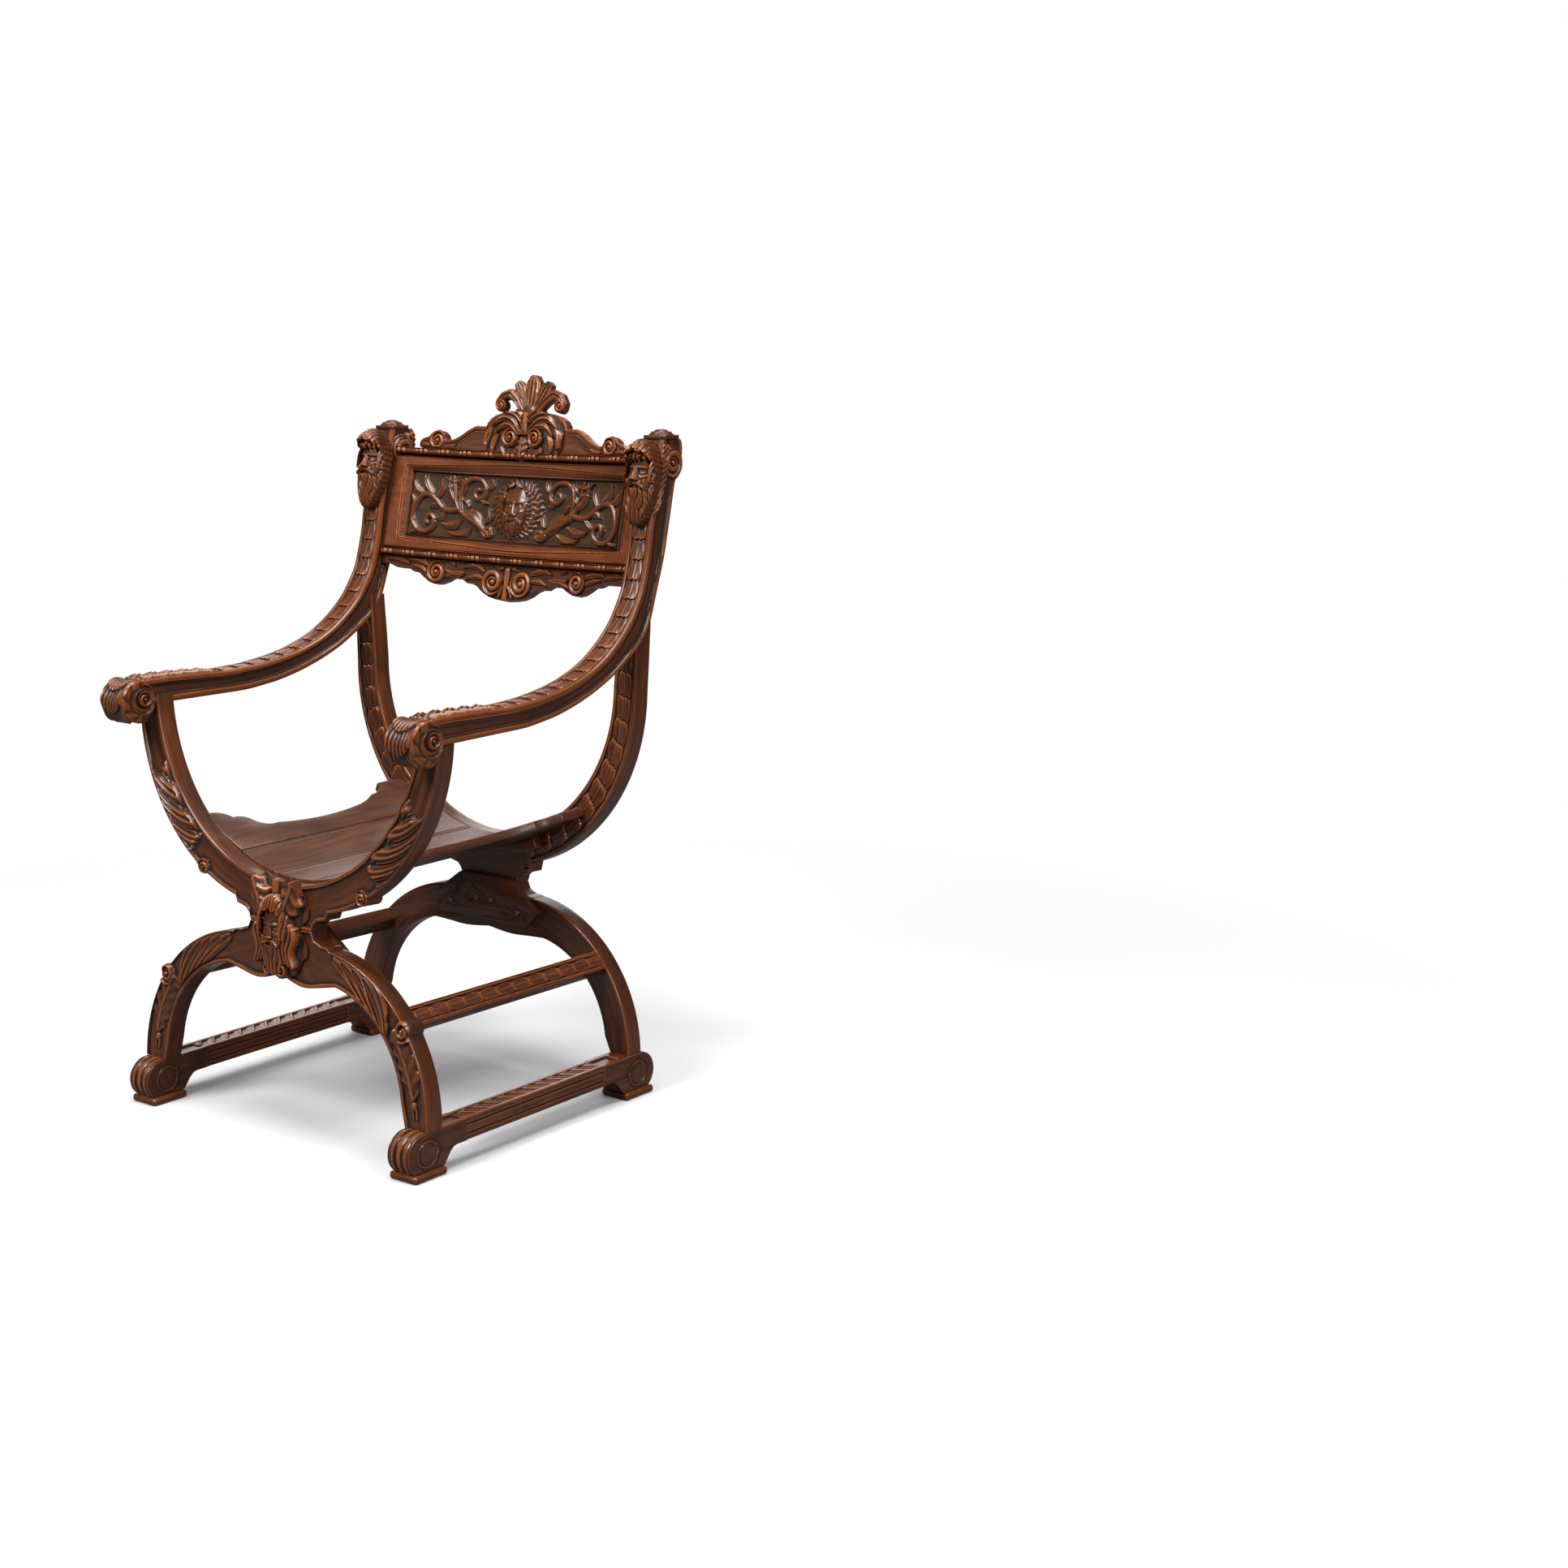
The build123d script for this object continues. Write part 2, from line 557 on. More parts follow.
# ---------------------------------------------------------------- plates behind the necks


def plate_outline(neck):
    """A board that bridges the seams of a frame on its hidden side."""
    top = neck + PLATE_RISE
    shoulder = neck - PLATE_SHOULDER_DROP
    bottom = neck - PLATE_DROP
    with BuildLine() as outline:
        Polyline((PLATE_BOTTOM_HALF, bottom), (PLATE_SIDE_HALF, shoulder), (PLATE_TOP_HALF, top))
        Line((PLATE_TOP_HALF, top), (-PLATE_TOP_HALF, top))
        Polyline((-PLATE_TOP_HALF, top), (-PLATE_SIDE_HALF, shoulder), (-PLATE_BOTTOM_HALF, bottom))
        Line((-PLATE_BOTTOM_HALF, bottom), (PLATE_BOTTOM_HALF, bottom))
    make_face(outline.edges())


with BuildPart() as front_brace_plate:
    with BuildSketch(FRONT_PLANE.offset(-FRAME_THICKNESS)):
        plate_outline(FRONT_NECK)
    extrude(amount=-PLATE_THICKNESS)
    chamfer(front_brace_plate.edges().group_by(Axis.Y)[-1], length=PLATE_THICKNESS / 4)
    drill(mirrored(FRONT_SCREWS), SCREW_RADIUS, 2 * SCREW_LENGTH)

with BuildPart() as back_brace_plate:
    with BuildSketch(BACK_PLANE):
        plate_outline(BACK_NECK)
    extrude(amount=PLATE_THICKNESS)
    chamfer(back_brace_plate.edges().group_by(Axis.Y)[0], length=PLATE_THICKNESS / 4)
    drill(mirrored(BACK_SCREWS), SCREW_RADIUS, 2 * SCREW_LENGTH)

with BuildPart() as brace_screws:
    for spot, out in mirrored(FRONT_SCREWS) + mirrored(BACK_SCREWS):
        with BuildSketch(Plane(origin=spot, z_dir=out)) as head:
            Circle(SCREW_HEAD_RADIUS)
        extrude(head.sketch, amount=SCREW_HEAD_HEIGHT, taper=15)
        with BuildSketch(Plane(origin=spot, z_dir=out)) as shank:
            Circle(SCREW_RADIUS)
        extrude(shank.sketch, amount=-SCREW_LENGTH)

# ---------------------------------------------------------------- mask and boss on the necks

with BuildPart() as front_mask:
    with BuildSketch(FRONT_PLANE):
        with Locations((0, FRONT_NECK)):
            Ellipse(MASK_HALF_WIDTH * 0.55, MASK_HALF_HEIGHT)
        for side in (-1, 1):
            with Locations((side * MASK_HALF_WIDTH * 0.45, FRONT_NECK + MASK_HALF_HEIGHT * 0.5)):
                Ellipse(MASK_HALF_WIDTH * 0.32, MASK_HALF_HEIGHT * 0.52, rotation=-side * 32)
            with Locations((side * MASK_HALF_WIDTH * 0.4, FRONT_NECK - MASK_HALF_HEIGHT * 0.35)):
                Ellipse(MASK_HALF_WIDTH * 0.3, MASK_HALF_HEIGHT * 0.6, rotation=side * 22)
    extrude(amount=MASK_DEPTH)

BOSS_SEAT = BACK_PLANE.from_local_coords((0, BOSS_HEIGHT, -FRAME_THICKNESS))
BOSS_PLANE = Plane(origin=BOSS_SEAT, x_dir=-BACK_PLANE.z_dir, z_dir=(1, 0, 0))

with BuildPart() as back_boss:
    with BuildSketch(BOSS_PLANE):
        with BuildLine() as outline:
            Polyline((0, 0), (0, BOSS_RADIUS), (BOSS_PROJECTION * 0.2, BOSS_RADIUS))
            ThreePointArc(
                (BOSS_PROJECTION * 0.2, BOSS_RADIUS),
                (BOSS_PROJECTION * 0.42, BOSS_RADIUS * 0.93),
                (BOSS_PROJECTION * 0.45, BOSS_RADIUS * 0.82),
            )
            ThreePointArc(
                (BOSS_PROJECTION * 0.45, BOSS_RADIUS * 0.82),
                (BOSS_PROJECTION * 0.33, BOSS_RADIUS * 0.75),
                (BOSS_PROJECTION * 0.4, BOSS_RADIUS * 0.68),
            )
            ThreePointArc(
                (BOSS_PROJECTION * 0.4, BOSS_RADIUS * 0.68),
                (BOSS_PROJECTION * 0.7, BOSS_RADIUS * 0.48),
                (BOSS_PROJECTION * 0.78, BOSS_RADIUS * 0.18),
            )
            Polyline(
                (BOSS_PROJECTION * 0.78, BOSS_RADIUS * 0.18),
                (BOSS_PROJECTION * 0.92, BOSS_RADIUS * 0.15),
                (BOSS_PROJECTION, BOSS_RADIUS * 0.08),
                (BOSS_PROJECTION, 0),
            )
            Line((BOSS_PROJECTION, 0), (0, 0))
        make_face(outline.edges())
    revolve(axis=Axis(BOSS_SEAT, -BACK_PLANE.z_dir))

for name, piece in (
    ("front_right_upper_limb", front_right_upper_limb),
    ("front_left_upper_limb", front_left_upper_limb),
    ("front_right_leg", front_right_leg),
    ("front_left_leg", front_left_leg),
    ("back_right_upper_limb", back_right_upper_limb),
    ("back_left_upper_limb", back_left_upper_limb),
    ("back_right_leg", back_right_leg),
    ("back_left_leg", back_left_leg),
    ("front_brace_plate", front_brace_plate),
    ("back_brace_plate", back_brace_plate),
    ("brace_screws", brace_screws),
    ("front_mask", front_mask),
    ("back_boss", back_boss),
):
    piece.part.label = name
    export_step(piece.part, f"parts/{name}.step")

# ---------------------------------------------------------------- feet

SCROLL_Z = FOOT_TOP - FOOT_SCROLL_RADIUS
SOLE = FOOT_TOP - STRETCHER_HEIGHT


def foot_outline(end):
    """Side view of a foot block; end is -1 for a front foot and 1 for a back one."""
    heel = FOOT_BRACKET_Y - FOOT_BRACKET_RUN
    toe = FOOT_SCROLL_Y + sqrt(FOOT_SCROLL_RADIUS**2 - (SCROLL_Z - PAD_HEIGHT) ** 2)
    with BuildLine() as outline:
        Polyline((end * STRETCHER_SEAM_Y, FOOT_TOP), (end * STRETCHER_SEAM_Y, SOLE), (end * heel, SOLE))
        ThreePointArc(
            (end * heel, SOLE),
            (end * (heel + 0.55 * FOOT_BRACKET_RUN), SOLE - 0.35 * (SOLE - PAD_HEIGHT)),
            (end * FOOT_BRACKET_Y, PAD_HEIGHT),
        )
        Line((end * FOOT_BRACKET_Y, PAD_HEIGHT), (end * toe, PAD_HEIGHT))
        ThreePointArc(
            (end * toe, PAD_HEIGHT),
            (end * (FOOT_SCROLL_Y + FOOT_SCROLL_RADIUS), SCROLL_Z),
            (end * FOOT_SCROLL_Y, FOOT_TOP),
        )
        Line((end * FOOT_SCROLL_Y, FOOT_TOP), (end * STRETCHER_SEAM_Y, FOOT_TOP))
    make_face(outline.edges())


STRETCHER_CHANNEL = STRETCHER_WIDTH - 2 * CARVING_RIM

for end, end_name in ((-1, "front"), (1, "back")):
    scroll_y = FEET_MIDDLE_Y + end * FOOT_SCROLL_Y
    with BuildPart() as right_foot:
        with BuildSketch(SIDE_PLANE.offset(FOOT_X - FOOT_WIDTH / 2)):
            foot_outline(end)
        extrude(amount=FOOT_WIDTH)
        # A turned eye on both sides of the scroll
        for face, inward in ((FOOT_X - FOOT_WIDTH / 2, 1), (FOOT_X + FOOT_WIDTH / 2, -1)):
            with BuildSketch(SIDE_PLANE.offset(face)):
                with Locations((end * (FOOT_SCROLL_Y - FOOT_SCROLL_RADIUS * 0.3), SCROLL_Z)):
                    Circle(EYE_DISC_RADIUS)
                    Circle(EYE_DISC_RADIUS - EYE_GROOVE, mode=Mode.SUBTRACT)
            extrude(amount=inward * EYE_GROOVE, mode=Mode.SUBTRACT)
        # The carved channel of the stretcher runs on over the foot, up to the leg
        channel_end = FOOT_BRACKET_Y - CARVING_RIM
        with BuildSketch(FLOOR_TO_LEG):
            with Locations((FOOT_X, FEET_MIDDLE_Y + end * (STRETCHER_SEAM_Y + channel_end) / 2)):
                Rectangle(STRETCHER_CHANNEL, channel_end - STRETCHER_SEAM_Y)
        extrude(amount=-CARVING_DEPTH, mode=Mode.SUBTRACT)
        if end < 0:
            scroll_axis = Axis((FOOT_X, scroll_y, SCROLL_Z), (1, 0, 0))
            with BuildSketch(Plane(origin=scroll_axis.position, x_dir=(1, 0, 0), z_dir=(0, -1, 0))):
                with Locations((-FOOT_WIDTH / 6, FOOT_SCROLL_RADIUS), (FOOT_WIDTH / 6, FOOT_SCROLL_RADIUS)):
                    Circle(FLUTE_RADIUS)
            revolve(axis=scroll_axis, revolution_arc=125, mode=Mode.SUBTRACT)
        drill(FOOT_DOWELS + STRETCHER_DOWELS)

    with BuildPart() as right_pad:
        with BuildSketch(Plane.XY):
            with Locations((FOOT_X, FEET_MIDDLE_Y + end * (PAD_FRONT_Y - PAD_LENGTH / 2))):
                Rectangle(PAD_WIDTH, PAD_LENGTH)
        extrude(amount=PAD_HEIGHT)
        chamfer(right_pad.edges(), length=PAD_HEIGHT / 4)

    with BuildPart() as left_foot:
        mirror(right_foot.part, about=Plane.YZ)
    with BuildPart() as left_pad:
        mirror(right_pad.part, about=Plane.YZ)

    for side_name, foot, pad in (("right", right_foot, right_pad), ("left", left_foot, left_pad)):
        foot.part.label = f"{end_name}_{side_name}_foot_block"
        export_step(foot.part, f"parts/{end_name}_{side_name}_foot_block.step")
        pad.part.label = f"{end_name}_{side_name}_foot_pad"
        export_step(pad.part, f"parts/{end_name}_{side_name}_foot_pad.step")

# ---------------------------------------------------------------- stretchers

with BuildPart() as right_lower_stretcher:
    with BuildSketch(Plane.XZ.offset(-FEET_MIDDLE_Y - STRETCHER_SEAM_Y)):
        with Locations((FOOT_X, FOOT_TOP - STRETCHER_HEIGHT / 2)):
            Rectangle(STRETCHER_WIDTH, STRETCHER_HEIGHT)
        with Locations((FOOT_X, FOOT_TOP)):
            Rectangle(STRETCHER_CHANNEL, 2 * CARVING_DEPTH, mode=Mode.SUBTRACT)
        with Locations((FOOT_X + STRETCHER_WIDTH / 2, FOOT_TOP - STRETCHER_HEIGHT / 2)):
            Rectangle(EYE_GROOVE, EYE_GROOVE, rotation=45, mode=Mode.SUBTRACT)
    extrude(amount=2 * STRETCHER_SEAM_Y)
    drill(STRETCHER_DOWELS)

with BuildPart() as right_mid_stretcher:
    with BuildSketch(MID_PLANE.offset(-FRAME_THICKNESS)):
        Rectangle(MID_STRETCHER_WIDTH, MID_STRETCHER_THICKNESS, align=(Align.CENTER, Align.MAX))
        Rectangle(MID_STRETCHER_WIDTH - 2 * CARVING_RIM, 2 * CARVING_DEPTH, mode=Mode.SUBTRACT)
    extrude(amount=(BACK_LANDING - FRONT_LANDING).length + 2 * FRAME_THICKNESS)
    split(bisect_by=FRONT_PLANE.offset(-FRAME_THICKNESS), keep=Keep.BOTTOM)
    split(bisect_by=BACK_PLANE, keep=Keep.TOP)
    drill(MID_DOWELS)

with BuildPart() as left_lower_stretcher:
    mirror(right_lower_stretcher.part, about=Plane.YZ)
with BuildPart() as left_mid_stretcher:
    mirror(right_mid_stretcher.part, about=Plane.YZ)

for name, stretcher in (
    ("right_lower_stretcher", right_lower_stretcher),
    ("left_lower_stretcher", left_lower_stretcher),
    ("right_mid_stretcher", right_mid_stretcher),
    ("left_mid_stretcher", left_mid_stretcher),
):
    stretcher.part.label = name
    export_step(stretcher.part, f"parts/{name}.step")

# ---------------------------------------------------------------- arms

with BuildPart() as arm_top_channel:
    with BuildSketch(SIDE_PLANE):
        with BuildLine() as top_line:
            arm_topside(ARM_NECK)
        trace(top_line.edges(), line_width=2 * CARVING_DEPTH)
    extrude(amount=WIDE)
    with BuildSketch(Plane.XY):
        arm_plan(CARVING_RIM)
    extrude(amount=3 * WIDE, mode=Mode.INTERSECT)

with BuildPart() as right_arm:
    with BuildSketch(SIDE_PLANE):
        arm_outline()
    extrude(amount=WIDE)
    with BuildSketch(Plane.XY):
        arm_plan()
    extrude(amount=3 * WIDE, mode=Mode.INTERSECT)
    add(arm_top_channel.part, mode=Mode.SUBTRACT)
    # A shallow sunk field along both sides, and a groove around the eye of the volute
    for side_plane, inward in ((arm_side_plane(1, arm_outer), -1), (arm_side_plane(1, arm_inner), 1)):
        with BuildSketch(side_plane):
            with BuildLine() as field_line:
                Spline(*over_underside(SIDE_FIELD_POINTS + SIDE_FIELD_TURN))
            trace(field_line.edges(), line_width=ARM_SIDE_FIELD)
            with Locations((VOLUTE_Y, VOLUTE_Z)):
                Circle(VOLUTE_EYE_RADIUS)
                Circle(VOLUTE_EYE_RADIUS - VOLUTE_GROOVE, mode=Mode.SUBTRACT)
        extrude(amount=inward * ARM_SIDE_DEPTH, mode=Mode.SUBTRACT)
    drill(ARM_DOWELS)

with BuildPart() as left_arm:
    mirror(right_arm.part, about=Plane.YZ)

for side_name, arm in (("right", right_arm), ("left", left_arm)):
    arm.part.label = f"{side_name}_arm"
    export_step(arm.part, f"parts/{side_name}_arm.step")

# ---------------------------------------------------------------- tops of the posts

POST_MIDDLE_X = (arm_inner(POST_FRONT_Y) + arm_outer(POST_FRONT_Y)) / 2
CAP_Y = FEET_MIDDLE_Y + post_front(POST_TOP) + CAP_ABACUS / 2

with BuildPart() as right_post_cap:
    with BuildSketch(Plane.XY.offset(POST_TOP)):
        with Locations((POST_MIDDLE_X, CAP_Y)):
            Rectangle(CAP_ABACUS, CAP_ABACUS)
    extrude(amount=CAP_ABACUS_HEIGHT)
    with BuildSketch(Plane.XY.offset(POST_TOP + CAP_ABACUS_HEIGHT)):
        with Locations((POST_MIDDLE_X, CAP_Y)):
            Circle(CAP_BUTTON_RADIUS)
    extrude(amount=CAP_BUTTON_HEIGHT, taper=20)

# The head is a rounded blank against the raking front of the post
HEAD_FOOT = HEAD_TOP - HEAD_HEIGHT
rake = radians(POST_RAKE)
HEAD_PLANE = Plane(
    origin=(POST_MIDDLE_X, FEET_MIDDLE_Y + post_front(HEAD_FOOT), HEAD_FOOT),
    x_dir=(1, 0, 0),
    z_dir=(0, -cos(rake), sin(rake)),
)
HEAD_SIDE = Plane(origin=HEAD_PLANE.origin, x_dir=HEAD_PLANE.z_dir, z_dir=-HEAD_PLANE.x_dir)

with BuildPart() as right_arm_head:
    with BuildSketch(HEAD_SIDE):
        with BuildLine() as outline:
            Spline(
                (0, 0),
                (HEAD_DEPTH * 0.7, HEAD_HEIGHT * 0.18),
                (HEAD_DEPTH * 0.9, HEAD_HEIGHT * 0.5),
                (HEAD_DEPTH, HEAD_HEIGHT * 0.78),
                (HEAD_DEPTH * 0.6, HEAD_HEIGHT * 0.96),
                (0, HEAD_HEIGHT),
            )
            Line((0, HEAD_HEIGHT), (0, 0))
        make_face()
    extrude(amount=HEAD_RADIUS, both=True)
    with BuildSketch(HEAD_PLANE):
        with Locations((0, HEAD_HEIGHT * 0.6)):
            Ellipse(HEAD_RADIUS, HEAD_HEIGHT * 0.4)
        with Locations((0, HEAD_HEIGHT * 0.35)):
            Ellipse(HEAD_RADIUS * 0.75, HEAD_HEIGHT * 0.35)
    extrude(amount=2 * HEAD_DEPTH, mode=Mode.INTERSECT)

with BuildPart() as left_post_cap:
    mirror(right_post_cap.part, about=Plane.YZ)
with BuildPart() as left_arm_head:
    mirror(right_arm_head.part, about=Plane.YZ)

for name, piece in (
    ("right_post_cap", right_post_cap),
    ("left_post_cap", left_post_cap),
    ("right_arm_head", right_arm_head),
    ("left_arm_head", left_arm_head),
):
    piece.part.label = name
    export_step(piece.part, f"parts/{name}.step")

# ---------------------------------------------------------------- back

BOW_RADIUS = (BACK_HALF_WIDTH**2 + BACK_BOW**2) / (2 * BACK_BOW)
tilt = radians(BACK_RAKE)
BACK_ORIGIN = (0, FEET_MIDDLE_Y + BACK_FRONT_Y, BACK_BOTTOM)
RAKE_PLANE = Plane(origin=BACK_ORIGIN, x_dir=(1, 0, 0), z_dir=(0, -cos(tilt), sin(tilt)))
BOW_PLANE = Plane(origin=BACK_ORIGIN, x_dir=(1, 0, 0), z_dir=(0, sin(tilt), cos(tilt)))
PANEL_FRONT = MOULDING_THICKNESS - PANEL_THICKNESS
BACK_REACH = BACK_HALF_WIDTH + 2 * MOULDING_THICKNESS


def bow(x):
    """How far the bowed back stands in front of its middle, at some distance to the side."""
    return BOW_RADIUS - sqrt(BOW_RADIUS**2 - x**2)


def bowed_strip(front, back, half_width):
    """Plan of a bowed board between two depths behind the moulded frame's front."""
    edge = bow(half_width)
    with BuildLine() as outline:
        ThreePointArc((-half_width, front - edge), (0, front), (half_width, front - edge))
        Line((half_width, front - edge), (half_width, back - edge))
        ThreePointArc((half_width, back - edge), (0, back), (-half_width, back - edge))
        Line((-half_width, back - edge), (-half_width, front - edge))
    make_face(outline.edges())


def trim_to_arms():
    """Cut the piece in hand where it meets the inner sides of both posts."""
    split(bisect_by=arm_side_plane(1, arm_inner), keep=Keep.BOTTOM)
    split(bisect_by=arm_side_plane(-1, arm_inner), keep=Keep.BOTTOM)


with BuildPart() as back_board:
    with BuildSketch(BOW_PLANE):
        bowed_strip(MOULDING_THICKNESS, MOULDING_THICKNESS + BOARD_THICKNESS, BACK_REACH)
    extrude(amount=BOARD_HEIGHT)
    trim_to_arms()

PANEL_HALF = BACK_HALF_WIDTH - STILE_WIDTH
with BuildPart() as carved_panel:
    with BuildSketch(BOW_PLANE.offset(FRAME_START + RAIL_WIDTH)):
        bowed_strip(PANEL_FRONT, MOULDING_THICKNESS, PANEL_HALF)
    extrude(amount=FRAME_END - FRAME_START - 2 * RAIL_WIDTH)


def mitred_bar(corners):
    """A bar of the panel's frame: its outline from the front, its thickness from the bow."""
    with BuildSketch(BOW_PLANE.offset(FRAME_START)) as plan:
        bowed_strip(0, MOULDING_THICKNESS, BACK_REACH)
    extrude(plan.sketch, amount=FRAME_END - FRAME_START)
    with BuildSketch(RAKE_PLANE.offset(WIDE / 4)) as front:
        Polygon(*corners, align=None)
    extrude(front.sketch, amount=-WIDE / 2, mode=Mode.INTERSECT)
    trim_to_arms()


# The mitres run from the corners of the board to those of the panel
INNER_LOW = FRAME_START + RAIL_WIDTH
INNER_HIGH = FRAME_END - RAIL_WIDTH
PAST = BACK_REACH + 2 * MOULDING_THICKNESS
past_drop = RAIL_WIDTH * (PAST - PANEL_HALF) / STILE_WIDTH

upper_left, upper_right = (-PANEL_HALF, INNER_HIGH), (PANEL_HALF, INNER_HIGH)
lower_left, lower_right = (-PANEL_HALF, INNER_LOW), (PANEL_HALF, INNER_LOW)
past_upper_left, past_upper_right = (-PAST, INNER_HIGH + past_drop), (PAST, INNER_HIGH + past_drop)
past_lower_left, past_lower_right = (-PAST, INNER_LOW - past_drop), (PAST, INNER_LOW - past_drop)

with BuildPart() as panel_rail_top:
    mitred_bar([upper_left, upper_right, past_upper_right, past_upper_left])
with BuildPart() as panel_rail_bottom:
    mitred_bar([past_lower_left, past_lower_right, lower_right, lower_left])
with BuildPart() as panel_stile_right:
    mitred_bar([lower_right, past_lower_right, past_upper_right, upper_right])
with BuildPart() as panel_stile_left:
    mirror(panel_stile_right.part, about=Plane.YZ)

with BuildPart() as bottom_bead_moulding:
    with BuildSketch(BOW_PLANE.offset(LOWER_BEAD_START)):
        bowed_strip(-BEAD_PROJECTION, MOULDING_THICKNESS, BACK_REACH)
    extrude(amount=BEAD_WIDTH)
    trim_to_arms()
with BuildPart() as top_bead_moulding:
    with BuildSketch(BOW_PLANE.offset(UPPER_BEAD_START)):
        bowed_strip(-BEAD_PROJECTION, MOULDING_THICKNESS, BACK_REACH)
    extrude(amount=BEAD_WIDTH)
    trim_to_arms()

CREST_FRONT = MOULDING_THICKNESS + BOARD_THICKNESS - CREST_THICKNESS


def crest_half_outline():
    """Right half of the crest's outline, from the top of the board."""
    base = BOARD_HEIGHT
    with BuildLine() as outline:
        Polyline((0, base), (CREST_HALF_WIDTH, base), (CREST_HALF_WIDTH, base + 8))
        ThreePointArc((CREST_HALF_WIDTH, base + 8), (206, base + 15), (194, base + 18))
        ThreePointArc((194, base + 18), (175, base + 29), (161, base + 13))
        ThreePointArc((161, base + 13), (140, base + 17), (118, base + 31))
        Polyline((118, base + 31), (104, base + CREST_SHOULDER), (82, base + CREST_SHOULDER))
        ThreePointArc((82, base + CREST_SHOULDER), (72, base + 53), (50, base + CREST_TOP))
        Polyline((50, base + CREST_TOP), (0, base + CREST_TOP), (0, base))
    make_face(outline.edges())


with BuildPart() as crest_rail:
    with BuildSketch(BOW_PLANE.offset(BOARD_HEIGHT)):
        bowed_strip(CREST_FRONT, CREST_FRONT + CREST_THICKNESS, CREST_HALF_WIDTH)
    extrude(amount=CREST_TOP)
    with BuildSketch(RAKE_PLANE.offset(WIDE / 4)):
        crest_half_outline()
        mirror(about=Plane.YZ)
    extrude(amount=-WIDE / 2, mode=Mode.INTERSECT)

PALMETTE_FOOT = BOARD_HEIGHT + CREST_TOP
with BuildPart() as crest_palmette:
    with BuildSketch(RAKE_PLANE.offset(-CREST_FRONT)):
        with Locations((0, PALMETTE_FOOT + PALMETTE_HEIGHT * 0.5)):
            Ellipse(PALMETTE_HEIGHT * 0.27, PALMETTE_HEIGHT * 0.5)
        for side in (-1, 1):
            with Locations((side * PALMETTE_HEIGHT * 0.42, PALMETTE_FOOT + PALMETTE_HEIGHT * 0.32)):
                Ellipse(PALMETTE_HEIGHT * 0.13, PALMETTE_HEIGHT * 0.42, rotation=-side * 48)
            with Locations((side * PALMETTE_HEIGHT, PALMETTE_FOOT + PALMETTE_HEIGHT * 0.18)):
                Circle(PALMETTE_HEIGHT * 0.17)
            with Locations((side * PALMETTE_HEIGHT * 0.85, PALMETTE_FOOT + PALMETTE_HEIGHT * 0.42)):
                Ellipse(PALMETTE_HEIGHT * 0.3, PALMETTE_HEIGHT * 0.1, rotation=-side * 30)
        with Locations((0, PALMETTE_FOOT)):
            Rectangle(PALMETTE_HEIGHT * 0.9, PALMETTE_HEIGHT * 0.2, align=(Align.CENTER, Align.MIN))
            Rectangle(WIDE, WIDE, align=(Align.CENTER, Align.MIN), mode=Mode.INTERSECT)
    extrude(amount=-PALMETTE_THICKNESS)

with BuildPart() as crest_crown:
    with BuildSketch(RAKE_PLANE.offset(WIDE / 4)):
        with Locations((0, BOARD_HEIGHT + CREST_TOP * 0.5)):
            Ellipse(CREST_TOP * 0.6, CREST_TOP * 0.48)
        for side in (-1, 1):
            with Locations((side * CREST_TOP * 0.37, BOARD_HEIGHT + CREST_TOP * 0.3)):
                Circle(CREST_TOP * 0.25)
            with Locations((side * CREST_TOP * 0.85, BOARD_HEIGHT + CREST_TOP * 0.5)):
                Ellipse(CREST_TOP * 0.3, CREST_TOP * 0.48, rotation=-side * -35)
    extrude(amount=-WIDE / 2)
    with BuildSketch(BOW_PLANE.offset(BOARD_HEIGHT)):
        bowed_strip(CREST_FRONT - CROWN_THICKNESS, CREST_FRONT, CREST_HALF_WIDTH)
    extrude(amount=2 * CREST_TOP, mode=Mode.INTERSECT)

APRON_FRONT = MOULDING_THICKNESS + BOARD_THICKNESS - APRON_THICKNESS


# Points of the apron's lower edge, from its end to the middle: distance from the middle, height
APRON_STEPS = [(240.0, -12.0), (226.0, -16.5), (201.0, -16.5)]
APRON_SHOULDER = [(201.0, -16.5), (190.0, -21.0), (179.0, -22.0)]
APRON_LOBE = [(179.0, -22.0), (147.0, -37.0), (115.0, -25.5)]
APRON_NECK = [(115.0, -25.5), (92.0, -25.5), (82.0, -31.0)]
APRON_HOLLOW = [(82.0, -31.0), (70.0, -31.5), (60.0, -35.0)]
APRON_DROP = [(60.0, -35.0), (34.0, -49.0), (0.0, -53.5)]
APRON_END_DEPTH = 11.0


def apron_half_outline():
    """Right half of the apron's outline: steps, a lobe under each scroll, and the middle drop."""
    with BuildLine() as outline:
        Polyline((0, 0), (BACK_REACH, 0), (BACK_REACH, -APRON_END_DEPTH), *APRON_STEPS)
        ThreePointArc(*APRON_SHOULDER)
        ThreePointArc(*APRON_LOBE)
        Polyline(*APRON_NECK)
        ThreePointArc(*APRON_HOLLOW)
        ThreePointArc(*APRON_DROP)
        Line(APRON_DROP[-1], (0, 0))
    make_face(outline.edges())


with BuildPart() as apron_rail:
    with BuildSketch(RAKE_PLANE.offset(WIDE / 4)):
        apron_half_outline()
        mirror(about=Plane.YZ)
    extrude(amount=-WIDE / 2)
    with BuildSketch(BOW_PLANE):
        bowed_strip(APRON_FRONT, APRON_FRONT + APRON_THICKNESS, BACK_REACH)
    extrude(amount=-WIDE / 4, mode=Mode.INTERSECT)
    trim_to_arms()

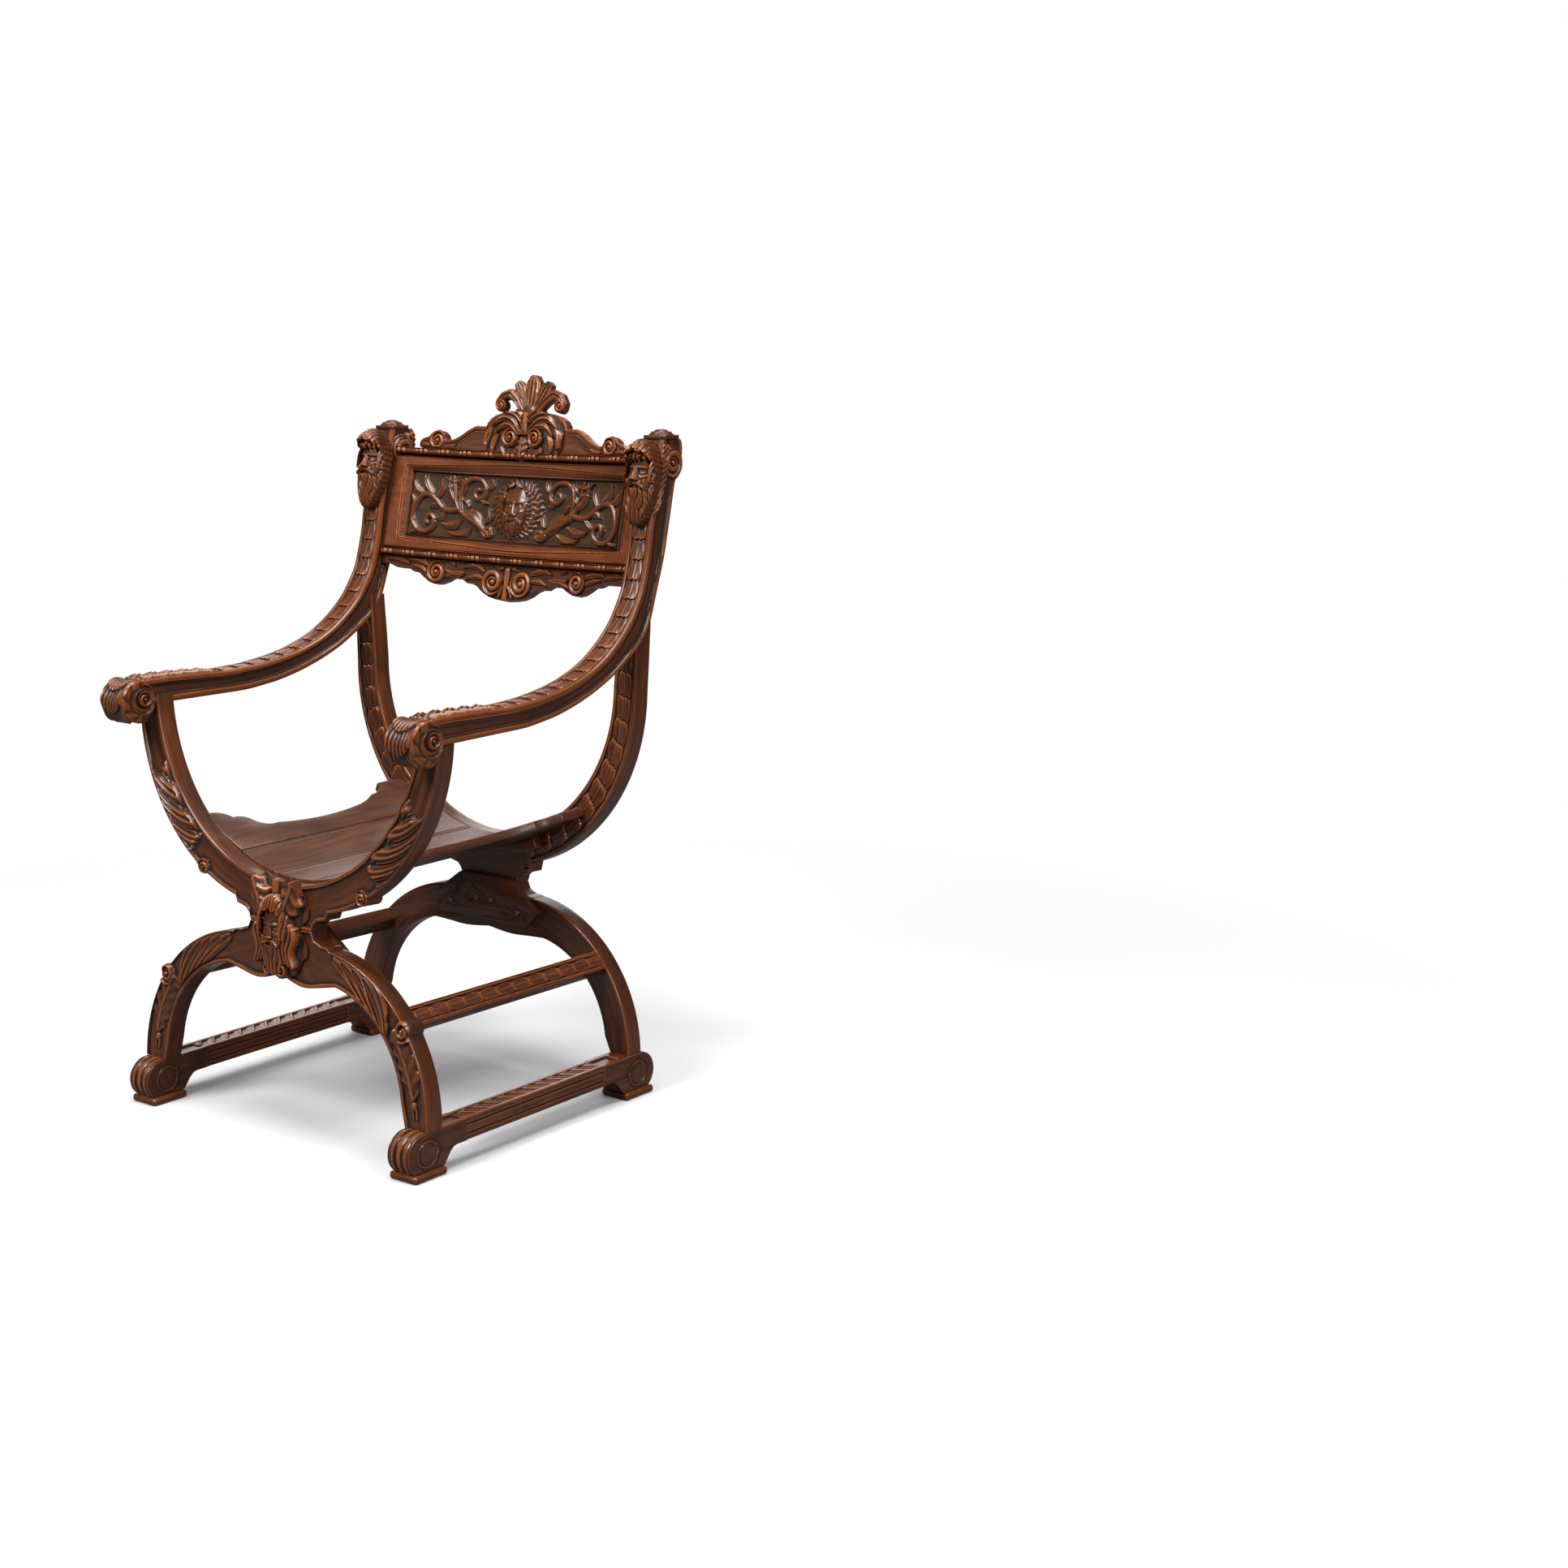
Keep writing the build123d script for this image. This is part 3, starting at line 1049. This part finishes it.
for name, piece in (
    ("back_board", back_board),
    ("carved_panel", carved_panel),
    ("panel_rail_top", panel_rail_top),
    ("panel_rail_bottom", panel_rail_bottom),
    ("panel_stile_right", panel_stile_right),
    ("panel_stile_left", panel_stile_left),
    ("bottom_bead_moulding", bottom_bead_moulding),
    ("top_bead_moulding", top_bead_moulding),
    ("crest_rail", crest_rail),
    ("crest_palmette", crest_palmette),
    ("crest_crown", crest_crown),
    ("apron_rail", apron_rail),
):
    piece.part.label = name
    export_step(piece.part, f"parts/{name}.step")

# ---------------------------------------------------------------- seat

SEAT_CENTRE = SEAT_BOTTOM + SEAT_RADIUS
SEAT_SECTION = Plane.XZ.offset(WIDE)
FRONT_INSIDE = FRONT_PLANE.offset(-FRAME_THICKNESS)


def seat_height(x, depth=0.0):
    """Height of the seat's dished surface, or of one parallel to it underneath."""
    return SEAT_CENTRE - sqrt((SEAT_RADIUS + depth) ** 2 - x**2)


def dished_section(start, end, top, bottom):
    """Section of a dished board between two distances from the middle and two depths."""
    middle = (start + end) / 2
    scale = (SEAT_RADIUS + bottom) / (SEAT_RADIUS + top)
    with BuildLine() as outline:
        ThreePointArc(
            (start, seat_height(start, top)),
            (middle, seat_height(middle, top)),
            (end, seat_height(end, top)),
        )
        Line((end, seat_height(end, top)), (end * scale, seat_height(end * scale, bottom)))
        ThreePointArc(
            (end * scale, seat_height(end * scale, bottom)),
            (middle * scale, seat_height(middle * scale, bottom)),
            (start * scale, seat_height(start * scale, bottom)),
        )
        Line((start * scale, seat_height(start * scale, bottom)), (start, seat_height(start, top)))
    make_face(outline.edges())


def trim_to_frames():
    """Cut the piece in hand where it meets the inner faces of both frames."""
    split(bisect_by=FRONT_INSIDE, keep=Keep.BOTTOM)
    split(bisect_by=BACK_PLANE, keep=Keep.TOP)


with BuildPart() as seat_board_middle:
    with BuildSketch(SEAT_SECTION):
        dished_section(-SEAT_MIDDLE_HALF, SEAT_MIDDLE_HALF, 0, SEAT_THICKNESS)
    extrude(amount=-2 * WIDE)
    trim_to_frames()

with BuildPart() as seat_board_right:
    with BuildSketch(SEAT_SECTION):
        dished_section(SEAT_MIDDLE_HALF + SEAT_GROOVE, SEAT_SIDE_HALF, 0, SEAT_THICKNESS)
    extrude(amount=-2 * WIDE)
    trim_to_frames()

wing_tilt = asin(SEAT_SIDE_HALF / SEAT_RADIUS)
WING_PLANE = Plane(
    origin=(SEAT_SIDE_HALF, FEET_MIDDLE_Y, seat_height(SEAT_SIDE_HALF)),
    x_dir=(cos(wing_tilt), 0, sin(wing_tilt)),
    z_dir=(-sin(wing_tilt), 0, cos(wing_tilt)),
)

with BuildPart() as seat_wing_right:
    with BuildSketch(WING_PLANE):
        with BuildLine() as outline:
            Polyline((SEAT_GROOVE, 250), (SEAT_GROOVE, -220), (WING_FRONT, -220), (WING_FRONT, -156))
            ThreePointArc((WING_FRONT, -156), (WING_FRONT - 6, -138), (WING_FRONT - 20, -128))
            ThreePointArc((WING_FRONT - 20, -128), (WING_FRONT - 22, -115), (WING_MIDDLE + 28, -104))
            ThreePointArc((WING_MIDDLE + 28, -104), (WING_MIDDLE + 12, -92), (WING_MIDDLE + 8, -70))
            ThreePointArc((WING_MIDDLE + 8, -70), (WING_MIDDLE, 10), (WING_MIDDLE + 8, 92))
            ThreePointArc((WING_MIDDLE + 8, 92), (WING_MIDDLE + 17, 118), (WING_BACK - 24, 132))
            ThreePointArc((WING_BACK - 24, 132), (WING_BACK - 18, 152), (WING_BACK, 166))
            Polyline((WING_BACK, 166), (WING_BACK, 250), (SEAT_GROOVE, 250))
        make_face(outline.edges())
    extrude(amount=-SEAT_THICKNESS)
    trim_to_frames()

with BuildPart() as front_seat_cleat:
    with BuildSketch(SEAT_SECTION):
        dished_section(-CLEAT_HALF_WIDTH, CLEAT_HALF_WIDTH, SEAT_THICKNESS, SEAT_THICKNESS + CLEAT_HEIGHT)
    extrude(amount=-2 * WIDE)
    split(bisect_by=FRONT_INSIDE, keep=Keep.BOTTOM)
    split(bisect_by=FRONT_INSIDE.offset(-CLEAT_DEPTH), keep=Keep.TOP)

with BuildPart() as back_seat_cleat:
    with BuildSketch(SEAT_SECTION):
        dished_section(-CLEAT_HALF_WIDTH, CLEAT_HALF_WIDTH, SEAT_THICKNESS, SEAT_THICKNESS + CLEAT_HEIGHT)
    extrude(amount=-2 * WIDE)
    split(bisect_by=BACK_PLANE, keep=Keep.TOP)
    split(bisect_by=BACK_PLANE.offset(CLEAT_DEPTH), keep=Keep.BOTTOM)

with BuildPart() as seat_board_left:
    mirror(seat_board_right.part, about=Plane.YZ)
with BuildPart() as seat_wing_left:
    mirror(seat_wing_right.part, about=Plane.YZ)

for name, piece in (
    ("seat_board_middle", seat_board_middle),
    ("seat_board_right", seat_board_right),
    ("seat_board_left", seat_board_left),
    ("seat_wing_right", seat_wing_right),
    ("seat_wing_left", seat_wing_left),
    ("front_seat_cleat", front_seat_cleat),
    ("back_seat_cleat", back_seat_cleat),
):
    piece.part.label = name
    export_step(piece.part, f"parts/{name}.step")

# ---------------------------------------------------------------- dowels inside the joints

with BuildPart() as neck_dowel_pins:
    pegs(mirrored(FRONT_NECK_DOWELS + BACK_NECK_DOWELS))
with BuildPart() as foot_dowel_pins:
    pegs(mirrored(FOOT_DOWELS))
with BuildPart() as arm_dowel_pins:
    pegs(mirrored(ARM_DOWELS))
with BuildPart() as lower_stretcher_dowel_pins:
    pegs(mirrored(STRETCHER_DOWELS))
with BuildPart() as right_mid_stretcher_dowel_pins:
    pegs(MID_DOWELS)
with BuildPart() as left_mid_stretcher_dowel_pins:
    mirror(right_mid_stretcher_dowel_pins.part, about=Plane.YZ)

for name, piece in (
    ("neck_dowels", neck_dowel_pins),
    ("foot_dowels", foot_dowel_pins),
    ("arm_dowels", arm_dowel_pins),
    ("lower_stretcher_dowels", lower_stretcher_dowel_pins),
    ("right_mid_stretcher_dowels", right_mid_stretcher_dowel_pins),
    ("left_mid_stretcher_dowels", left_mid_stretcher_dowel_pins),
):
    piece.part.label = name
    export_step(piece.part, f"parts/{name}.step")
